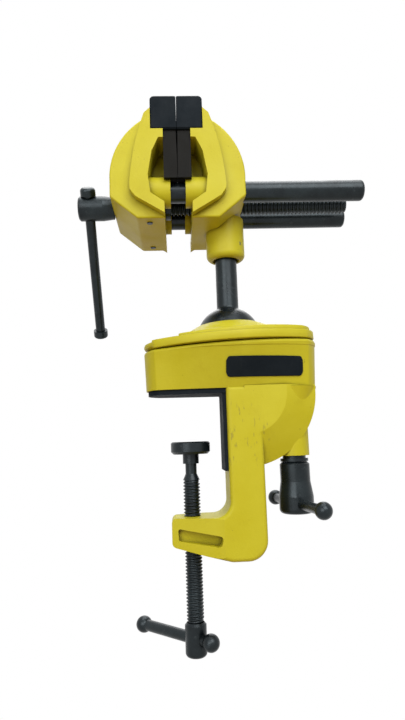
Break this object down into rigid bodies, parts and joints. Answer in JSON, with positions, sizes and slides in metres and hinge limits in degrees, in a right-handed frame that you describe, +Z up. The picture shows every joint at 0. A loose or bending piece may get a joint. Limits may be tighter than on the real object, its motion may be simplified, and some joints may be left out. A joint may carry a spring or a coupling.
{
  "type": "clamp-on swivel vise",
  "caption": "Small vise head with guide rods, screw and capped jaws on a locking ball joint, held to a bench edge by a C-clamp with a swivel pad.",
  "frame": {"origin": "on the rubber seat under the upper arm, on the clamp screw's axis", "axes": "+X from the mouth of the clamp to its column, +Y across the jaws, +Z up"},
  "size_m": [0.1831, 0.1044, 0.3387],
  "materials": {
    "yellow_coat": "satin",
    "black_rubber": "matte",
    "black_plastic": "matte",
    "seat_plastic": "matte",
    "nut_brass": "turned",
    "black_steel": "black oxide"
  },
  "bodies": {
    "frame": {"clamp_body": "yellow_coat", "bench_pad": "black_rubber", "clamp_plate": "yellow_coat", "lock_stud": "black_steel", "lock_washer": "black_steel"},
    "seat_ring": {"ball_seat": "seat_plastic"},
    "ball": {"ball_post": "black_steel"},
    "head": {"fixed_jaw": "yellow_coat", "fixed_jaw_plate": "black_plastic", "fixed_jaw_cap": "black_rubber", "spindle_nut": "nut_brass", "post_pin": "black_steel"},
    "slider": {"moving_jaw": "yellow_coat", "moving_jaw_plate": "black_plastic", "moving_jaw_cap": "black_rubber", "guide_rod_front": "black_steel", "guide_rod_rear": "black_steel", "rod_pin_front": "black_steel", "rod_pin_rear": "black_steel"},
    "spindle": {"jaw_screw": "black_steel", "screw_collar": "black_steel"},
    "handle": {"handle_bar": "black_steel", "handle_end_top": "black_steel", "handle_end_bottom": "black_steel"},
    "foot": {"swivel_pad": "black_steel"},
    "clamp_spindle": {"clamp_screw": "black_steel"},
    "clamp_handle": {"clamp_bar": "black_steel", "clamp_ball_near": "black_steel", "clamp_ball_far": "black_steel"},
    "knob": {"lock_knob": "black_steel", "lock_bar": "black_steel", "lock_ball_front": "black_steel", "lock_ball_rear": "black_steel"}
  },
  "joints": [
    {"name": "seat_swivel", "type": "hinge", "parent": "frame", "child": "seat_ring", "pos_m": [0.027, 0, 0.036], "axis": [0, 0, 1], "continuous": true},
    {"name": "post_tilt", "type": "hinge", "parent": "seat_ring", "child": "ball", "pos_m": [0.027, 0, 0.036], "axis": [0, 1, 0], "range_deg": [-30, 30]},
    {"name": "head_turn", "type": "hinge", "parent": "ball", "child": "head", "pos_m": [0.027, 0, 0.1], "axis": [0, 0, 1], "continuous": true},
    {"name": "jaw_slide", "type": "slide", "parent": "head", "child": "slider", "axis": [-1, 0, 0], "range_m": [0, 0.065]},
    {"name": "screw_turn", "type": "hinge", "parent": "slider", "child": "spindle", "pos_m": [-0.06, 0, 0.126], "axis": [-1, 0, 0], "range_deg": [0, 9350]},
    {"name": "handle_slide", "type": "slide", "parent": "spindle", "child": "handle", "axis": [0, -0.5736, 0.8192], "range_m": [0, 0.077]},
    {"name": "clamp_slide", "type": "slide", "parent": "frame", "child": "foot", "axis": [0, 0, 1], "range_m": [-0.03, 0.028]},
    {"name": "clamp_turn", "type": "hinge", "parent": "foot", "child": "clamp_spindle", "pos_m": [0, 0, -0.05], "axis": [0, 0, 1], "range_deg": [-5390, 5030]},
    {"name": "clamp_bar_slide", "type": "slide", "parent": "clamp_spindle", "child": "clamp_handle", "axis": [0.7071, -0.7071, 0], "range_m": [0, 0.034]},
    {"name": "knob_turn", "type": "hinge", "parent": "frame", "child": "knob", "pos_m": [0.065, 0, -0.06], "axis": [0, 0, 1], "range_deg": [-48, 35]}
  ],
  "couplings": [
    {"joint": "jaw_slide", "follows": "screw_turn", "m_per_rad": 0.00039789},
    {"joint": "clamp_slide", "follows": "clamp_turn", "m_per_rad": 0.00031831}
  ]
}
